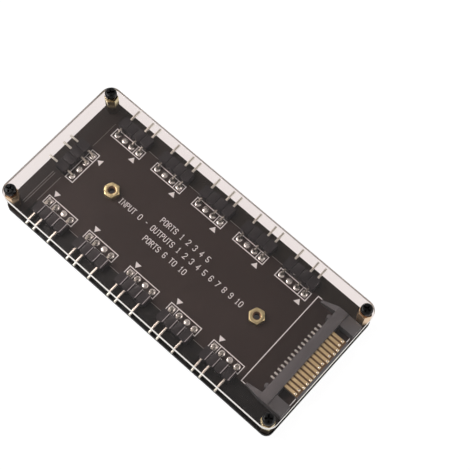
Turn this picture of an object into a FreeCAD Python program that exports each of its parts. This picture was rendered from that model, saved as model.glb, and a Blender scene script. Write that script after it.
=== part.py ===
# Ten-port lighting hub: board, clear plate, posts, ports and power plug, in millimetres.
# Frame: +X runs along the board to the power plug, +Y across it, +Z up.
# The origin is the bottom centre of the whole hub's box; the base screw heads stand on z = 0.
import os
import FreeCAD
import Part
import Sketcher
from FreeCAD import Vector, Rotation

doc = FreeCAD.newDocument("hub")
sheet = doc.addObject("Spreadsheet::Sheet", "Sizes")

# alias, value or formula, meaning
ROWS = [
    ("board_length", "90.4", "board along X"),
    ("board_width", "40.4", "board along Y"),
    ("board_thick", "1.6", "board thickness"),
    ("board_corner", "2", "board corner radius"),
    ("plate_rim_x", "0.3", "plate past the board at each end"),
    ("plate_rim_y", "0.3", "plate past the board at each side"),
    ("plate_thick", "2", "clear plate thickness"),
    ("plate_corner", "3", "plate corner radius"),
    ("centre_drop", "0.7", "board centreline below the port centreline"),
    ("post_inset", "2", "post axis from the board edges"),
    ("post_height", "7", "clear height between board and plate"),
    ("post_flats", "3.2", "post over flats"),
    ("screw_size", "2", "M2 thread"),
    ("screw_play", "0.1", "screw hole clearance, each side"),
    ("thread_gap", "0.02", "thread clearance, each side"),
    ("head_round", "3.4", "pan head diameter"),
    ("head_high", "1.3", "pan head height"),
    ("head_edge", "0.45", "pan head top edge"),
    ("cover_reach", "5", "cover screw under the head"),
    ("base_reach", "4", "base screw under the head"),
    ("slot_wide", "0.5", "cross recess slot width"),
    ("slot_long", "2", "cross recess slot length"),
    ("slot_deep", "0.7", "cross recess depth"),
    ("nut_flats", "4", "nut over flats"),
    ("nut_high", "1.6", "nut height"),
    ("nut_spacing", "50", "nut to nut along X"),
    ("nut_centre", "-1.8", "middle of the two nuts in X"),
    ("nut_rim", "0.25", "nut thread countersink"),
    ("pin_spacing", "2.54", "pin pitch"),
    ("pin_side", "0.64", "square pin side"),
    ("pin_gap", "0.02", "pin clearance in the shell, each side"),
    ("pin_hole", "1", "pin hole in the board"),
    ("pin_tail", "1", "pin below the board"),
    ("pin_bend", "0.4", "pin inner bend radius"),
    ("pin_point", "0.15", "pin tip chamfer"),
    ("row_inset", "6.8", "board side to the pad row beside it"),
    ("first_inset", "12.14", "board end to the middle of the first port"),
    ("last_inset", "12.54", "middle of the last port to the plug"),
    ("shell_back", "1.45", "pad row to the shell"),
    ("shell_deep", "3.3", "shell depth, outwards"),
    ("shell_high", "2.54", "shell height"),
    ("shell_notch", "0.35", "notch between two ways"),
    ("input_inset", "7.66", "board end to the input pad row"),
    ("input_y", "0.1", "middle of the input port in Y"),
    ("plug_set", "0.6", "plug arms behind the board edge"),
    ("plug_centre", "-0.2", "middle of the plug in Y"),
    ("plug_room", "0.75", "plug arm to the post beside it"),
    ("plug_deep", "7.8", "plug depth along X"),
    ("plug_bar", "3.3", "rear bar depth"),
    ("plug_arm", "3.55", "arm width"),
    ("plug_high", "3.5", "plug height over the board"),
    ("arm_drop", "0.3", "arm top under the bar top"),
    ("boss_round", "1.4", "boss on the bar, diameter"),
    ("boss_off", "11.7", "boss from the plug's middle in Y"),
    ("boss_in", "0.2", "boss axis inside the bar"),
    ("boss_high", "3.2", "boss height over the board"),
    ("plug_ear", "4.3", "ear length behind the bar"),
    ("ear_root", "1.6", "ear thickness at the bar"),
    ("ear_tip", "0.7", "ear thickness at its end"),
    ("ear_lean", "0.8", "ear end inside the plug's side"),
    ("ear_low", "0.7", "ear height at its end"),
    ("ear_sink", "0.4", "ear root inside the bar"),
    ("tongue_half", "9.45", "half of the tongue's width"),
    ("tongue_top", "2.7", "tongue face over the board"),
    ("tongue_thick", "1.25", "tongue thickness"),
    ("tongue_past", "0.3", "tongue past the arms"),
    ("tongue_nose", "0.3", "tongue end chamfer"),
    ("tongue_root", "0.5", "tongue root inside the bar"),
    ("contact_spacing", "1.27", "contact pitch"),
    ("contact_shift", "0.3", "contacts and tongue past the plug's middle in Y"),
    ("contact_wide", "0.84", "contact width"),
    ("contact_tail", "0.5", "contact width behind the bar"),
    ("contact_thick", "0.25", "contact thickness"),
    ("contact_proud", "0.2", "contact over the tongue face"),
    ("contact_gap", "0.02", "contact clearance in its groove"),
    ("contact_long", "0.6", "long contact tip behind the tongue end"),
    ("contact_short", "1.1", "short contact tip behind the tongue end"),
    ("contact_foot", "0.95", "contact foot on the board"),
    ("contact_off", "0.25", "contact leg behind the rear bar"),
    ("contact_curl", "0.2", "contact bend at the leg"),
    ("contact_nose", "0.18", "contact tip chamfer"),
    ("plate_length", "=board_length + 2 * plate_rim_x", "plate along X"),
    ("plate_width", "=board_width + 2 * plate_rim_y", "plate along Y"),
    ("board_base", "=head_high", "board underside"),
    ("board_top", "=board_base + board_thick", "board face"),
    ("plate_base", "=board_top + post_height", "plate underside"),
    ("plate_top", "=plate_base + plate_thick", "plate face"),
    ("post_x", "=board_length / 2 - post_inset", "post axis in X"),
    ("post_up", "=board_width / 2 - post_inset - centre_drop", "post axis at +Y"),
    ("post_down", "=post_inset - board_width / 2 - centre_drop", "post axis at -Y"),
    ("screw_hole", "=screw_size + 2 * screw_play", "screw hole diameter"),
    ("bore", "=screw_size + 2 * thread_gap", "post thread bore"),
    ("nut_bore", "=screw_size * 0.85", "nut thread bore"),
    ("nut_a", "=nut_centre - nut_spacing / 2", "left nut in X"),
    ("nut_b", "=nut_centre + nut_spacing / 2", "right nut in X"),
    ("row_y", "=board_width / 2 - centre_drop - row_inset", "pad row in Y"),
    ("pin_reach", "=plate_width / 2 + centre_drop - row_y", "pad row to the pin ends"),
    ("pin_axis", "=shell_high / 2", "pin axis over the board"),
    ("input_x", "=input_inset - board_length / 2", "input pad row in X"),
    ("input_reach", "=plate_length / 2 + input_x", "input pad row to the pin ends"),
    ("plug_front", "=board_length / 2 - plug_set", "plug arm ends in X"),
    ("plug_back", "=plug_front - plug_deep", "plug rear face in X"),
    ("plug_mid", "=plug_back + plug_bar", "rear bar front face in X"),
    ("plug_half", "=post_up - post_flats / 2 - plug_room - plug_centre", "half of the plug's width"),
    ("port_first", "=first_inset - board_length / 2", "middle of the first port in X"),
    ("port_pitch", "=(plug_back - last_inset - port_first) / 4", "port to port along X"),
    ("tongue_end", "=plug_front + tongue_past", "tongue end in X"),
    ("groove_base", "=tongue_top + contact_proud - contact_thick", "contact underside over the board"),
]
for number, (alias, value, meaning) in enumerate(ROWS, start=1):
    sheet.set("A%d" % number, meaning)
    sheet.set("B%d" % number, value)
    sheet.setAlias("B%d" % number, alias)
doc.recompute()


def size(alias):
    return float(sheet.get(alias))


def ref(text):
    """Puts the sheet's name before each alias of an expression."""
    out = ""
    word = ""
    for letter in text + " ":
        if letter.isalnum() or letter == "_":
            word += letter
            continue
        out += ("Sizes." + word) if word[:1].isalpha() else word
        out += letter
        word = ""
    return out.strip()


def new_body(label):
    body = doc.addObject("PartDesign::Body", label)
    body.Label = label
    if hasattr(body, "AllowCompound"):
        body.AllowCompound = True
    return body


def place(body, x, y, z, turn=0):
    body.Placement = FreeCAD.Placement(Vector(0, 0, 0), Rotation(Vector(0, 0, 1), turn))
    body.setExpression("Placement.Base.x", ref(x))
    body.setExpression("Placement.Base.y", ref(y))
    body.setExpression("Placement.Base.z", ref(z))


def sketch(body, plane, offset=None):
    drawing = body.newObject("Sketcher::SketchObject", body.Name + "_sketch")
    for feature in body.Origin.OriginFeatures:
        if feature.Role == plane:
            drawing.AttachmentSupport = [(feature, "")]
    drawing.MapMode = "FlatFace"
    if offset:
        drawing.setExpression("AttachmentOffset.Base.z", ref(offset))
    return drawing


known = {}


def value_of(text):
    """Value of a sheet expression, for a sketch's first shape; worked out in a spare cell."""
    if text not in known:
        sheet.set("D1", "=" + text)
        sheet.recompute()
        known[text] = float(sheet.get("D1"))
    return known[text]


def fix(drawing, wanted):
    """Adds sized constraints in one go and ties each to its sheet expression."""
    items = [Sketcher.Constraint(kind, *spots, value_of(text)) for kind, spots, text in wanted]
    for index, (kind, spots, text) in zip(drawing.addConstraint(items), wanted):
        drawing.setExpression("Constraints[%d]" % index, ref(text))


def polygon(drawing, points):
    """Closed outline; each point is a pair of sheet expressions."""
    spots = [Vector(value_of(a), value_of(b), 0) for a, b in points]
    count = len(spots)
    lines = [Part.LineSegment(spots[n], spots[(n + 1) % count]) for n in range(count)]
    first = drawing.addGeometry(lines, False)[0]
    drawing.addConstraint([Sketcher.Constraint("Coincident", first + n, 2, first + (n + 1) % count, 1)
                           for n in range(count)])
    wanted = []
    for index, (a, b) in enumerate(points):
        wanted.append(("DistanceX", (-1, 1, first + index, 1), a))
        wanted.append(("DistanceY", (-1, 1, first + index, 1), b))
    fix(drawing, wanted)


def circle(drawing, x, y, diameter):
    spot = Vector(value_of(x), value_of(y), 0)
    number = drawing.addGeometry(Part.Circle(spot, Vector(0, 0, 1), value_of(diameter) / 2), False)
    fix(drawing, [("DistanceX", (-1, 1, number, 3), x), ("DistanceY", (-1, 1, number, 3), y),
                  ("Diameter", (number,), diameter)])


def box_points(x_low, x_high, y_low, y_high):
    return [(x_low, y_low), (x_high, y_low), (x_high, y_high), (x_low, y_high)]


def pad(body, drawing, length, both=False, reverse=False):
    feature = body.newObject("PartDesign::Pad", body.Name + "_pad")
    feature.Profile = drawing
    feature.setExpression("Length", ref(length))
    if both:
        feature.SideType = "Symmetric"
    feature.Reversed = reverse
    drawing.Visibility = False
    body.Tip = feature
    return feature


def pocket(body, drawing, length=None, both=False, reverse=False):
    feature = body.newObject("PartDesign::Pocket", body.Name + "_pocket")
    feature.Profile = drawing
    if length is None:
        feature.Type = "ThroughAll"
    else:
        feature.setExpression("Length", ref(length))
    if both:
        feature.SideType = "Symmetric"
    feature.Reversed = reverse
    drawing.Visibility = False
    body.Tip = feature
    return feature


def pattern(body, feature, axis, length, count):
    row = body.newObject("PartDesign::LinearPattern", body.Name + "_row")
    row.Originals = [feature]
    for part in body.Origin.OriginFeatures:
        if part.Role == axis:
            row.Direction = (part, [""])
    row.setExpression("Length", ref(length))
    row.Occurrences = count
    body.Tip = row
    return row


def picked(feature, test):
    """Names of the feature's edges that pass the test."""
    doc.recompute()
    return ["Edge%d" % (n + 1) for n, edge in enumerate(feature.Shape.Edges) if test(edge)]


def dress(body, kind, feature, edges, prop, text):
    step = body.newObject("PartDesign::" + kind, body.Name + "_" + kind.lower())
    step.Base = (feature, edges)
    step.setExpression(prop, ref(text))
    body.Tip = step
    return step


def upright(edge):
    box = edge.BoundBox
    return box.ZLength > 0.1 and box.XLength < 1e-6 and box.YLength < 1e-6


def ring_at(height, radius):
    def test(edge):
        curve = edge.Curve
        if not hasattr(curve, "Radius"):
            return False
        return abs(curve.Radius - radius) < 1e-6 and abs(edge.BoundBox.ZMin - height) < 1e-6
    return test


def plate_outline(body, length, width, thick, corner):
    drawing = sketch(body, "XY_Plane")
    polygon(drawing, box_points("-%s / 2" % length, "%s / 2" % length,
                                "-%s / 2" % width, "%s / 2" % width))
    slab = pad(body, drawing, thick)
    return dress(body, "Fillet", slab, picked(slab, upright), "Radius", corner)


def corner_holes(drawing):
    for x in ("-post_x", "post_x"):
        for y in ("board_width / 2 - post_inset", "post_inset - board_width / 2"):
            circle(drawing, x, y, "screw_hole")


def drilled(drawing, x, y, wide):
    """Small plated hole, eight-sided to keep the facets few."""
    near = "%s * 0.2071" % wide
    far = "%s / 2" % wide
    corners = [(far, near), (near, far), ("-" + near, far), ("-" + far, near),
               ("-" + far, "-" + near), ("-" + near, "-" + far), (near, "-" + far), (far, "-" + near)]
    polygon(drawing, [("%s + (%s)" % (x, a), "%s + (%s)" % (y, b)) for a, b in corners])


# Filled ways of a port, in pin spacings from its middle; the third way is empty.
WAYS = (1.5, 0.5, -1.5)

# Board: its own centre lies centre_drop below the port centreline.
board = new_body("circuit_board")
plate_outline(board, "board_length", "board_width", "board_thick", "board_corner")
holes = sketch(board, "XY_Plane")
corner_holes(holes)
circle(holes, "nut_a", "centre_drop", "screw_hole")
circle(holes, "nut_b", "centre_drop", "screw_hole")
for step in WAYS:
    drilled(holes, "input_x", "centre_drop + input_y + %s * pin_spacing" % step, "pin_hole")
pocket(board, holes, both=True)
for side, turn in (("row_y", 1), ("-row_y", -1)):
    drill = sketch(board, "XY_Plane")
    for step in WAYS:
        drilled(drill, "port_first + %s * pin_spacing" % (step * turn),
                side + " + centre_drop", "pin_hole")
    pattern(board, pocket(board, drill, both=True), "X_Axis", "4 * port_pitch", 5)
place(board, "0 * board_length", "-centre_drop", "board_base")

# Clear plate on the four posts.
plate = new_body("top_plate")
plate_outline(plate, "plate_length", "plate_width", "plate_thick", "plate_corner")
holes = sketch(plate, "XY_Plane")
corner_holes(holes)
pocket(plate, holes, both=True)
place(plate, "0 * board_length", "-centre_drop", "plate_base")


def hex_points(flats):
    side = "%s * 0.57735" % flats
    half = "%s / 2" % flats
    return [(side, "0 * " + flats), (side + " / 2", half), ("-%s / 2" % side, half),
            ("-" + side, "0 * " + flats), ("-%s / 2" % side, "-" + half), (side + " / 2", "-" + half)]


def hex_bar(label, flats, high, hole):
    """Hex bar with a through bore."""
    body = new_body(label)
    drawing = sketch(body, "XY_Plane")
    polygon(drawing, hex_points(flats))
    pad(body, drawing, high)
    bore = sketch(body, "XY_Plane")
    circle(bore, "0 * " + flats, "0 * " + flats, hole)
    pocket(body, bore, both=True)
    return body


def turn_ends(body, flats, high):
    """Turns both ends of a hex bar to a 30 degree chamfer."""
    inner = "%s * 0.485" % flats
    outer = "%s * 0.7" % flats
    rise = "%s * 0.1241" % flats
    for low, lift in (("0 * " + high, rise), (high, "%s - %s" % (high, rise))):
        turned = sketch(body, "XZ_Plane")
        polygon(turned, [(inner, low), (outer, low), (outer, lift)])
        cut = body.newObject("PartDesign::Groove", body.Name + "_turned")
        cut.Profile = turned
        cut.ReferenceAxis = (turned, ["V_Axis"])
        cut.Angle = 360
        turned.Visibility = False
        body.Tip = cut


def screw(label, reach):
    """Pan head with a cross recess; the head stands on local z = 0, the shank points down."""
    body = new_body(label)
    crown = sketch(body, "XY_Plane")
    circle(crown, "0 * head_round", "0 * head_round", "head_round")
    head = pad(body, crown, "head_high")
    edges = picked(head, ring_at(size("head_high"), size("head_round") / 2))
    dress(body, "Chamfer", head, edges, "Size", "head_edge")
    stem = sketch(body, "XY_Plane")
    circle(stem, "0 * screw_size", "0 * screw_size", "screw_size")
    shank = pad(body, stem, reach, reverse=True)
    edges = picked(shank, ring_at(-size(reach), size("screw_size") / 2))
    dress(body, "Chamfer", shank, edges, "Size", "screw_size * 0.12")
    recess = sketch(body, "XY_Plane", "head_high")
    a = "slot_wide / 2"
    b = "slot_long / 2"
    polygon(recess, [(b, "-" + a), (b, a), (a, a), (a, b), ("-" + a, b), ("-" + a, a),
                     ("-" + b, a), ("-" + b, "-" + a), ("-" + a, "-" + a), ("-" + a, "-" + b),
                     (a, "-" + b), (a, "-" + a)])
    pocket(body, recess, "slot_deep")
    return body


POST_TURN = (15, 40, 0, 22)
CORNERS = [("-post_x", "post_down"), ("-post_x", "post_up"), ("post_x", "post_up"),
           ("post_x", "post_down")]
for number, (x, y) in enumerate(CORNERS, start=1):
    post = hex_bar("post_%d" % number, "post_flats", "post_height", "bore")
    place(post, x, y, "board_top", POST_TURN[number - 1])
    place(screw("cover_screw_%d" % number, "cover_reach"), x, y, "plate_top", 20 + 35 * number)
    lower = screw("base_screw_%d" % number, "base_reach")
    place(lower, x, y, "board_base")
    lower.Placement = FreeCAD.Placement(lower.Placement.Base, Rotation(Vector(1, 0, 0), 180))

# Hex nuts: open M2 threads, countersunk at both mouths.
for label, x in (("nut_left", "nut_a"), ("nut_right", "nut_b")):
    nut = hex_bar(label, "nut_flats", "nut_high", "nut_bore")
    turn_ends(nut, "nut_flats", "nut_high")
    edges = picked(nut.Tip, lambda e: hasattr(e.Curve, "Radius")
                   and abs(e.Curve.Radius - size("nut_bore") / 2) < 1e-6)
    dress(nut, "Chamfer", nut.Tip, edges, "Size", "nut_rim")
    place(nut, x, "0 * nut_flats", "board_top", 12)


def port_shell(label):
    """Four-way shell, notched between the ways, with one square channel for each way."""
    body = new_body(label)
    drawing = sketch(body, "XY_Plane")
    near = "shell_back"
    far = "shell_back + shell_deep"
    lower = []
    upper = []
    for step in range(-2, 3):
        edge = "%d * pin_spacing" % step
        if step > -2:
            lower.append((edge + " - shell_notch", near))
            upper.append((edge + " - shell_notch", far))
        lower.append((edge, near + " + shell_notch"))
        upper.append((edge, far + " - shell_notch"))
        if step < 2:
            lower.append((edge + " + shell_notch", near))
            upper.append((edge + " + shell_notch", far))
    polygon(drawing, lower + upper[::-1])
    pad(body, drawing, "shell_high")
    channel = sketch(body, "XZ_Plane")
    half = "pin_side / 2 + pin_gap"
    for step in (-1.5, -0.5, 0.5, 1.5):
        middle = "%s * pin_spacing" % step
        polygon(channel, box_points("%s - (%s)" % (middle, half), "%s + (%s)" % (middle, half),
                                    "pin_axis - (%s)" % half, "pin_axis + (%s)" % half))
    pocket(body, channel, both=True)
    return body


def port_pins(label, reach):
    """Three square pins, bent down at the pad row; the third way stays empty."""
    body = new_body(label)
    half = "pin_side / 2"
    for step in WAYS:
        drawing = sketch(body, "YZ_Plane", "%s * pin_spacing" % step)
        top = "pin_axis + " + half
        under = "pin_axis - " + half
        foot = "-board_thick - pin_tail"
        polygon(drawing, [
            ("-" + half + " + pin_point", foot), (half + " - pin_point", foot),
            (half, foot + " + pin_point"), (half, under + " - pin_bend"),
            (half + " + pin_bend * 0.293", under + " - pin_bend * 0.293"),
            (half + " + pin_bend", under),
            (reach + " - pin_point", under), (reach, under + " + pin_point"),
            (reach, top + " - pin_point"), (reach + " - pin_point", top),
            (half + " + pin_bend", top),
            ("(pin_side + pin_bend) * 0.293 - " + half, top + " - (pin_side + pin_bend) * 0.293"),
            ("-" + half, under + " - pin_bend"), ("-" + half, foot + " + pin_point")])
        pad(body, drawing, "pin_side", both=True)
    return body


def port(name, x, y, turn, reach):
    place(port_shell(name + "_shell"), x, y, "board_top", turn)
    place(port_pins(name + "_pins", reach), x, y, "board_top", turn)


for number in range(5):
    x = "port_first + %d * port_pitch" % number
    port("port_%d" % (number + 1), x, "row_y", 0, "pin_reach")
    port("port_%d" % (number + 6), x, "-row_y", 180, "pin_reach")
port("input", "input_x", "input_y", 90, "input_reach")

# Power plug housing: rear bar with two bosses, two lower arms, grooved tongue and two sloped ears.
shell = new_body("sata_housing")
plan = sketch(shell, "XY_Plane")
inner = "(plug_half - plug_arm)"
polygon(plan, [("plug_back", "-plug_half"), ("plug_front", "-plug_half"), ("plug_front", "-" + inner),
               ("plug_mid", "-" + inner), ("plug_mid", inner), ("plug_front", inner),
               ("plug_front", "plug_half"), ("plug_back", "plug_half")])
pad(shell, plan, "plug_high")
arms = sketch(shell, "XY_Plane", "plug_high - arm_drop")
for sign in ("", "-"):
    polygon(arms, box_points("plug_mid", "plug_front + arm_drop", sign + "(%s - arm_drop)" % inner,
                             sign + "(plug_half + arm_drop)"))
pocket(shell, arms, "2 * arm_drop", reverse=True)
bosses = sketch(shell, "XY_Plane")
for sign in ("", "-"):
    circle(bosses, "plug_back + boss_in", sign + "boss_off", "boss_round")
pad(shell, bosses, "boss_high")
tongue = sketch(shell, "XZ_Plane", "-contact_shift")
under = "tongue_top - tongue_thick"
polygon(tongue, [("plug_mid - tongue_root", under), ("tongue_end - tongue_nose", under),
                 ("tongue_end", under + " + tongue_nose"), ("tongue_end", "tongue_top - tongue_nose"),
                 ("tongue_end - tongue_nose", "tongue_top"), ("plug_mid - tongue_root", "tongue_top")])
pad(shell, tongue, "2 * tongue_half", both=True)
ears = sketch(shell, "XY_Plane")
for sign in ("", "-"):
    polygon(ears, [("plug_back - plug_ear", sign + "(plug_half - ear_lean - ear_tip)"),
                   ("plug_back - plug_ear", sign + "(plug_half - ear_lean)"),
                   ("plug_back", sign + "plug_half"), ("plug_back + ear_sink", sign + "plug_half"),
                   ("plug_back + ear_sink", sign + "(plug_half - ear_root)")])
pad(shell, ears, "plug_high")
slope = sketch(shell, "XZ_Plane")
polygon(slope, [("plug_back - plug_ear", "ear_low"), ("plug_back", "plug_high"),
                ("plug_back - plug_ear", "plug_high")])
pocket(shell, slope, both=True)
groove = sketch(shell, "YZ_Plane", "plug_back")
half = "(contact_wide / 2 + contact_gap)"
start = "contact_shift - 7 * contact_spacing"
polygon(groove, box_points(start + " - " + half, start + " + " + half, "groove_base",
                           "tongue_top + contact_proud + contact_gap"))
first = pocket(shell, groove, "tongue_end - contact_long + contact_gap - plug_back", reverse=True)
pattern(shell, first, "Y_Axis", "14 * contact_spacing", 15)
place(shell, "0 * plug_half", "plug_centre", "board_top")

# Contacts, numbered from -Y; the short ones mate last.
SHORT = (1, 2, 8, 9, 11, 14, 15)
strips = new_body("sata_contacts")
for number in range(1, 16):
    tip = "tongue_end - " + ("contact_short" if number in SHORT else "contact_long")
    profile = sketch(strips, "XZ_Plane", "%d * contact_spacing" % (8 - number))
    leg = "plug_back - contact_off"
    face = "groove_base + contact_thick"
    polygon(profile, [
        ("plug_back", "groove_base"), (tip, "groove_base"), (tip, face + " - contact_nose"),
        (tip + " - contact_nose", face), ("plug_back", face)])
    pad(strips, profile, "contact_wide", both=True)
    tail = sketch(strips, "XZ_Plane", "%d * contact_spacing" % (8 - number))
    polygon(tail, [
        (leg + " - contact_foot", "0 * contact_foot"), (leg, "0 * contact_foot"),
        (leg, "groove_base - contact_curl"), (leg + " + contact_curl", "groove_base"),
        ("plug_back + tongue_root", "groove_base"), ("plug_back + tongue_root", face), (leg, face),
        (leg + " - contact_thick", face + " - contact_thick"), (leg + " - contact_thick", "contact_thick"),
        (leg + " - contact_foot", "contact_thick")])
    pad(strips, tail, "contact_tail", both=True)
place(strips, "0 * plug_half", "plug_centre + contact_shift", "board_top")

sheet.clear("D1")
doc.recompute()
os.makedirs("parts", exist_ok=True)
bodies = [item for item in doc.Objects if item.TypeId == "PartDesign::Body"]
for item in doc.Objects:
    if "Invalid" in item.State or "Error" in item.State:
        raise RuntimeError("step failed: " + item.Name)
for body in bodies:
    if body.Shape.isNull() or not body.Shape.isValid() or body.Shape.Volume <= 0:
        raise RuntimeError("bad shape: " + body.Label)
    body.Shape.exportStep("parts/%s.step" % body.Label)
print("parts", len(bodies))
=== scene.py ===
"""Looks of a ten-port lighting hub: soft edges, printing, solder and finishes."""
import math

import bmesh
import bpy
from bpy.props import FloatProperty, FloatVectorProperty, PointerProperty, StringProperty
from mathutils import Euler, Matrix, Vector


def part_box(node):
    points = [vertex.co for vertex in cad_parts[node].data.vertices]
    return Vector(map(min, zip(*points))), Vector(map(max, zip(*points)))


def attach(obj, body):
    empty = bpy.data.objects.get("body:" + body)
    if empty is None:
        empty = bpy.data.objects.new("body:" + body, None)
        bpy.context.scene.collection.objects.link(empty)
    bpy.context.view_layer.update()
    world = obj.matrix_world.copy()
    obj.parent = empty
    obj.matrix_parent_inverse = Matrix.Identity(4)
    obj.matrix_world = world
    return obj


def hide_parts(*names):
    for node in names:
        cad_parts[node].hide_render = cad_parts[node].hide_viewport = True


bl_info = {
    "name": "Lighting hub",
    "version": (1, 0, 0),
    "blender": (4, 5, 0),
    "location": "3D View > Sidebar > Hub",
    "description": "Gives the packed hub its soft edges, printing, solder and finishes",
    "category": "Object",
}

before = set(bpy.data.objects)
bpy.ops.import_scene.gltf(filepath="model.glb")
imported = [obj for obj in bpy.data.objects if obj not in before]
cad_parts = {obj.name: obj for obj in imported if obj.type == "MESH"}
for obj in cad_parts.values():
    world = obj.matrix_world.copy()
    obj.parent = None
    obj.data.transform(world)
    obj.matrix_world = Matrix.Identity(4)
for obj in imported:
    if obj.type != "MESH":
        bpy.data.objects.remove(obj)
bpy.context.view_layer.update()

MM = 0.001
BODY = "root"
BOARD_LOW, BOARD_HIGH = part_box("circuit_board")

# Ports: four ways each, the third without a pin; each dark strip is (half width, tone) of pin
# colour darkened along a row of pads.
PIN_SPACING = 2.54 * MM
PIN_SIDE = 0.64 * MM
PIN_SHARE = 0.84
PIN_WAYS = (1, 2, 4)
EMPTY_WAY = 3
UPPER_PORTS = (1, 2, 3, 4, 5)
LOWER_PORTS = (6, 7, 8, 9, 10)
SHELL_SLIDE = {6: 0.35 * MM, 7: 0.22 * MM}
# Ends of the painted highlight lines on the lower-row shells.
HIGHLIGHT_NEAR = 0.15 * MM
HIGHLIGHT_FAR = 0.3 * MM
UPPER_DARK_STRIP = (1.9 * MM, 0.2)
LOWER_DARK_STRIP = (0.45 * MM, 0.5)

# The plug: the hidden lengths run in under its bar, from the back.
CONTACTS = 15
CONTACT_WIDE = 0.84 * MM
TAIL_WIDE = 0.46 * MM
TAIL_LONG = 1.18 * MM
TAIL_HIGH = 0.3 * MM
TAIL_START = 0.2 * MM
TAIL_HIDDEN = 0.75 * MM
BLADE_HIDDEN = 0.8 * MM
TIN_END = 0.77 * MM
FOOT_TOE = 0.1 * MM
FOOT_HEEL = 0.7 * MM
# Where the painted shade between the contacts starts, and how far it reaches past them.
GAP_SHADE_START = 1.5 * MM
GAP_SHADE_EDGE = 0.1 * MM

# Fasteners and solder; WETTED is the share of a pad that the solder covers.
CORNERS = (1, 2, 3, 4)
HEAD_TURN = 18
HEAD_TURN_STEP = 37
NUT_BORE = 0.92 * MM
# Height over the board below which the posts get painted shade.
FOOT_SHADE_HIGH = 4.4 * MM
WETTED = 0.93

# Printing and copper, from the board's centre
LEGEND_CORNERS = {"upper": (-12.1 * MM, 2.4 * MM), "centre": (-23.8 * MM, -0.85 * MM),
                  "lower": (-12.1 * MM, -4.2 * MM)}
TRACES = (-41.5 * MM, -42.1 * MM)
TRACE_END = 17.2 * MM
POUR_CORNER = 14.6 * MM
INLET_HALF = 6.0 * MM

# Stage; the floor is shaded under the board.
KEY_LAMP = ((-0.28, -0.12, 0.42), 0.30)
FILL_LAMP = ((0.40, 0.25, 0.30), 0.35)
FLOOR_HALF = 1.5
SHADE_INSET = 3 * MM
SHADE_SOFT = 1.5 * MM
SHADE_LEFT = 0.04
SENSOR_WIDE = 36.0


# Graphs: one class wraps a socket, one builds nodes.

class Signal:
    """One output of a node graph; arithmetic on it adds Math nodes."""

    def __init__(self, graph, socket):
        self.graph = graph
        self.socket = socket

    def math(self, operation, first, second=0.0):
        return self.graph.add("ShaderNodeMath", {0: first, 1: second}, {"operation": operation})

    def __add__(self, other):
        return self.math("ADD", self, other)

    __radd__ = __add__

    def __sub__(self, other):
        return self.math("SUBTRACT", self, other)

    def __rsub__(self, other):
        return self.math("SUBTRACT", other, self)

    def __mul__(self, other):
        return self.math("MULTIPLY", self, other)

    __rmul__ = __mul__

    def __abs__(self):
        return self.math("ABSOLUTE", self)

    def most(self, other):
        return self.math("MAXIMUM", self, other)

    def within(self, centre, half, soft):
        """1 in a band round the centre, 0 outside it."""
        return 1.0 - abs(self - centre).past(half, soft)

    def past(self, edge, soft):
        """0 below the edge, 1 above it, with a soft step between."""
        limits = {"Value": self, "From Min": edge - soft, "From Max": edge + soft}
        return self.graph.add("ShaderNodeMapRange", limits, {"interpolation_type": "SMOOTHSTEP"})

    def output(self, name):
        return Signal(self.graph, self.socket.node.outputs[name])


class Graph:
    """Adds nodes to one node tree."""

    def __init__(self, tree):
        self.tree = tree

    def add(self, kind, sockets=None, settings=None, output=0):
        node = self.tree.nodes.new(kind)
        for name, value in (settings or {}).items():
            setattr(node, name, value)
        for name, value in (sockets or {}).items():
            if isinstance(value, Signal):
                self.tree.links.new(value.socket, node.inputs[name])
            else:
                node.inputs[name].default_value = value
        return Signal(self, node.outputs[output]) if len(node.outputs) else None

    def split(self, vector):
        """The X, Y and Z of a vector, as outputs of one node."""
        return self.add("ShaderNodeSeparateXYZ", {"Vector": vector})


class Finish(Graph):
    """One material and its nodes."""

    def __init__(self, name):
        self.material = bpy.data.materials.new(name)
        self.material.use_nodes = True
        super().__init__(self.material.node_tree)
        self.tree.nodes.clear()
        self.place = self.add("ShaderNodeTexCoord", output="Object")

    def grain(self, size, detail=3.0, stretch=(1.0, 1.0, 1.0)):
        """Noise whose grains are about size millimetres across."""
        spot = self.add("ShaderNodeMapping", {"Vector": self.place, "Scale": stretch})
        return self.add("ShaderNodeTexNoise", {
            "Vector": spot, "Scale": 1.0 / (size * MM), "Detail": detail})

    def blend(self, share, first, second):
        return self.add("ShaderNodeMix", {0: share, 6: first, 7: second}, {"data_type": "RGBA"}, 2)

    def mottled(self, share, colour, low, high):
        """Runs between two tones of one colour."""
        return self.blend(share, rgba(colour, low), rgba(colour, high))

    def bump(self, height, depth):
        """Normal of a relief that is depth millimetres deep."""
        return self.add("ShaderNodeBump", {
            "Height": height, "Distance": depth * MM, "Strength": 1.0})

    def principled(self, sockets):
        return self.add("ShaderNodeBsdfPrincipled", sockets)

    def done(self, shader):
        self.add("ShaderNodeOutputMaterial", {"Surface": shader})
        return self.material

    def coat(self, sockets):
        """The material, with one Principled surface."""
        return self.done(self.principled(sockets))


def rgba(colour, share=1.0):
    """Colour for a socket, darkened or lightened by a share."""
    return tuple(part * share for part in colour[:3]) + (1.0,)


# Finishes

def polished_acrylic(looks):
    """Polished sheet; lamps and bounced light pass straight through to the board."""
    finish = Finish("polished_acrylic")
    wear = finish.grain(9, 4.0)
    sheet = finish.principled({
        "Base Color": rgba(looks.acrylic), "IOR": 1.49,
        "Transmission Weight": 1.0, "Roughness": 0.02 * wear})
    path = finish.add("ShaderNodeLightPath")
    through = finish.add("ShaderNodeBsdfTransparent", {"Color": rgba(looks.acrylic)})
    for kind in ("Is Diffuse Ray", "Is Shadow Ray"):
        sheet = finish.add("ShaderNodeMixShader", {0: path.output(kind), 1: sheet, 2: through})
    return finish.done(sheet)


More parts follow.
